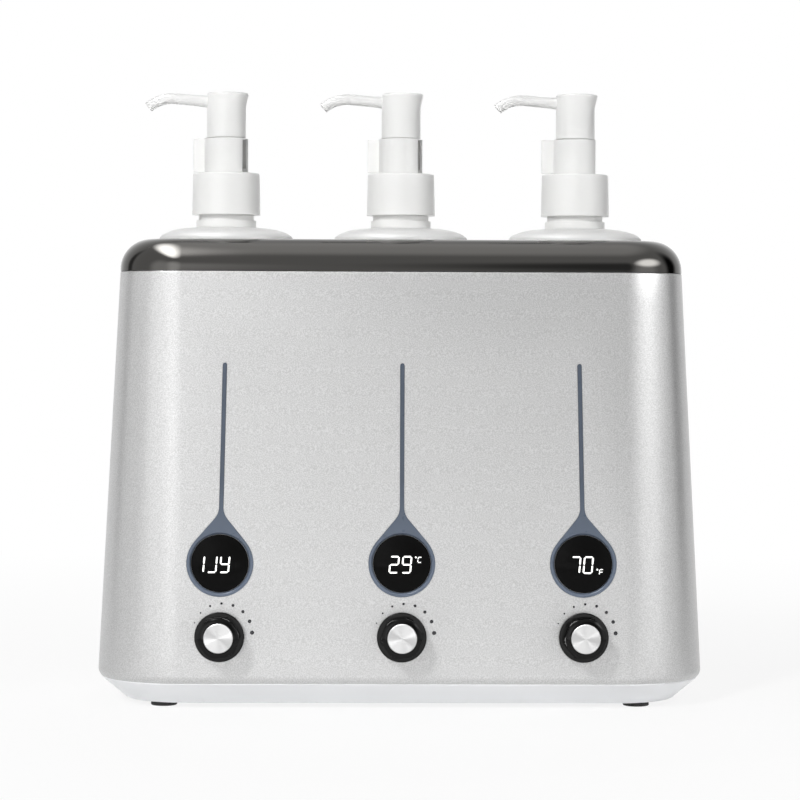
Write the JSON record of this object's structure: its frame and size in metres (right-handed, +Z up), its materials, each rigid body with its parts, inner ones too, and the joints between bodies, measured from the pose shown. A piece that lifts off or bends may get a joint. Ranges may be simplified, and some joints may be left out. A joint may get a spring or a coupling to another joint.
{
  "type": "massage oil warmer",
  "caption": "Tapered countertop warmer holding pump bottles in heated wells, with a knob and a round display for each bottle.",
  "frame": {"origin": "on the surface it stands on, under the middle of the whole part's box", "axes": "+Z up, +X to the right as seen from the front, -Y out of the front with the displays and knobs"},
  "size_m": [0.2666, 0.1316, 0.27],
  "materials": {
    "casing_silver": "fine sand-grained silver",
    "cover_chrome": "dark chrome",
    "base_white": "satin white",
    "slate": "satin slate grey",
    "window_black": "polished black",
    "knob_black": "polished black",
    "cap_aluminium": "spun",
    "bottle_white": "frosted",
    "pump_white": "satin white",
    "inner_plastic": "moulded",
    "well_aluminium": "drawn",
    "film_copper": "film",
    "steel": "plated",
    "rubber_black": "matte",
    "board_green": "solder mask",
    "black_plastic": "moulded"
  },
  "bodies": {
    "housing": {"base_tray": "base_white", "casing": "casing_silver", "top_cover": "cover_chrome", "well_deck": "inner_plastic", "well_seals": "rubber_black", "heating_films": "film_copper", "temperature_sensors": "steel", "control_board": "board_green", "board_screws": "steel", "display_modules": "black_plastic", "dial_switches": "steel", "switch_nuts": "steel", "power_inlet": "black_plastic", "rubber_feet": "rubber_black", "base_screws": "steel", "heating_well_left": "well_aluminium", "heating_well_middle": "well_aluminium", "heating_well_right": "well_aluminium", "bezel_left": "slate", "bezel_middle": "slate", "bezel_right": "slate", "display_window_left": "window_black", "display_window_middle": "window_black", "display_window_right": "window_black"},
    "knob_left": {"knob_grip_left": "knob_black", "knob_cap_left": "cap_aluminium", "switch_shaft_left": "steel"},
    "bottle_left": {"bottle_left": "bottle_white"},
    "pump_left": {"pump_chamber_left": "inner_plastic", "dip_tube_left": "inner_plastic", "return_spring_left": "steel"},
    "closure_left": {"closure_left": "pump_white"},
    "stem_left": {"pump_stem_left": "pump_white"},
    "head_left": {"pump_head_left": "pump_white"},
    "clip_left": {"lock_clip_left": "pump_white"},
    "knob_middle": {"knob_grip_middle": "knob_black", "knob_cap_middle": "cap_aluminium", "switch_shaft_middle": "steel"},
    "bottle_middle": {"bottle_middle": "bottle_white"},
    "pump_middle": {"pump_chamber_middle": "inner_plastic", "dip_tube_middle": "inner_plastic", "return_spring_middle": "steel"},
    "closure_middle": {"closure_middle": "pump_white"},
    "stem_middle": {"pump_stem_middle": "pump_white"},
    "head_middle": {"pump_head_middle": "pump_white"},
    "clip_middle": {"lock_clip_middle": "pump_white"},
    "knob_right": {"knob_grip_right": "knob_black", "knob_cap_right": "cap_aluminium", "switch_shaft_right": "steel"},
    "bottle_right": {"bottle_right": "bottle_white"},
    "pump_right": {"pump_chamber_right": "inner_plastic", "dip_tube_right": "inner_plastic", "return_spring_right": "steel"},
    "closure_right": {"closure_right": "pump_white"},
    "stem_right": {"pump_stem_right": "pump_white"},
    "head_right": {"pump_head_right": "pump_white"},
    "clip_right": {"lock_clip_right": "pump_white"}
  },
  "joints": [
    {"name": "knob_turn_left", "type": "hinge", "parent": "housing", "child": "knob_left", "pos_m": [-0.0783, -0.05096, 0.0322], "axis": [0, -0.9985, 0.0541], "range_deg": [-84, 86]},
    {"name": "bottle_lift_left", "type": "slide", "parent": "housing", "child": "bottle_left", "axis": [0, 0, 1], "range_m": [0, 0.13]},
    {"name": "pump_rise_left", "type": "slide", "parent": "bottle_left", "child": "pump_left", "axis": [0, 0, 1], "range_m": [0, 0.0064]},
    {"name": "closure_turn_left", "type": "hinge", "parent": "pump_left", "child": "closure_left", "pos_m": [-0.0783, 0.00694, 0.2341], "axis": [0, 0, 1], "range_deg": [0, 540]},
    {"name": "head_press_left", "type": "slide", "parent": "pump_left", "child": "stem_left", "axis": [0, 0, 1], "range_m": [-0.012, 0], "stiffness_N_per_m": 300, "springref_m": 0.02, "deforming": ["return_spring_left"]},
    {"name": "head_swivel_left", "type": "hinge", "parent": "stem_left", "child": "head_left", "pos_m": [-0.0783, 0.00694, 0.25], "axis": [0, 0, 1], "continuous": true},
    {"name": "clip_pull_left", "type": "slide", "parent": "pump_left", "child": "clip_left", "axis": [-0.9659, 0.2588, 0], "range_m": [0, 0.035]},
    {"name": "knob_turn_middle", "type": "hinge", "parent": "housing", "child": "knob_middle", "pos_m": [0, -0.05096, 0.0322], "axis": [0, -0.9985, 0.0541], "range_deg": [-84, 86]},
    {"name": "bottle_lift_middle", "type": "slide", "parent": "housing", "child": "bottle_middle", "axis": [0, 0, 1], "range_m": [0, 0.13]},
    {"name": "pump_rise_middle", "type": "slide", "parent": "bottle_middle", "child": "pump_middle", "axis": [0, 0, 1], "range_m": [0, 0.0064]},
    {"name": "closure_turn_middle", "type": "hinge", "parent": "pump_middle", "child": "closure_middle", "pos_m": [0, 0.00694, 0.2341], "axis": [0, 0, 1], "range_deg": [0, 540]},
    {"name": "head_press_middle", "type": "slide", "parent": "pump_middle", "child": "stem_middle", "axis": [0, 0, 1], "range_m": [-0.012, 0], "stiffness_N_per_m": 300, "springref_m": 0.02, "deforming": ["return_spring_middle"]},
    {"name": "head_swivel_middle", "type": "hinge", "parent": "stem_middle", "child": "head_middle", "pos_m": [0, 0.00694, 0.25], "axis": [0, 0, 1], "continuous": true},
    {"name": "clip_pull_middle", "type": "slide", "parent": "pump_middle", "child": "clip_middle", "axis": [-0.9659, 0.2588, 0], "range_m": [0, 0.035]},
    {"name": "knob_turn_right", "type": "hinge", "parent": "housing", "child": "knob_right", "pos_m": [0.0783, -0.05096, 0.0322], "axis": [0, -0.9985, 0.0541], "range_deg": [-84, 86]},
    {"name": "bottle_lift_right", "type": "slide", "parent": "housing", "child": "bottle_right", "axis": [0, 0, 1], "range_m": [0, 0.13]},
    {"name": "pump_rise_right", "type": "slide", "parent": "bottle_right", "child": "pump_right", "axis": [0, 0, 1], "range_m": [0, 0.0064]},
    {"name": "closure_turn_right", "type": "hinge", "parent": "pump_right", "child": "closure_right", "pos_m": [0.0783, 0.00694, 0.2341], "axis": [0, 0, 1], "range_deg": [0, 540]},
    {"name": "head_press_right", "type": "slide", "parent": "pump_right", "child": "stem_right", "axis": [0, 0, 1], "range_m": [-0.012, 0], "stiffness_N_per_m": 300, "springref_m": 0.02, "deforming": ["return_spring_right"]},
    {"name": "head_swivel_right", "type": "hinge", "parent": "stem_right", "child": "head_right", "pos_m": [0.0783, 0.00694, 0.25], "axis": [0, 0, 1], "continuous": true},
    {"name": "clip_pull_right", "type": "slide", "parent": "pump_right", "child": "clip_right", "axis": [-0.9998, 0.0175, 0], "range_m": [0, 0.035]}
  ],
  "couplings": [
    {"joint": "pump_rise_left", "follows": "closure_turn_left", "m_per_rad": 0.00066845},
    {"joint": "pump_rise_middle", "follows": "closure_turn_middle", "m_per_rad": 0.00066845},
    {"joint": "pump_rise_right", "follows": "closure_turn_right", "m_per_rad": 0.00066845}
  ]
}
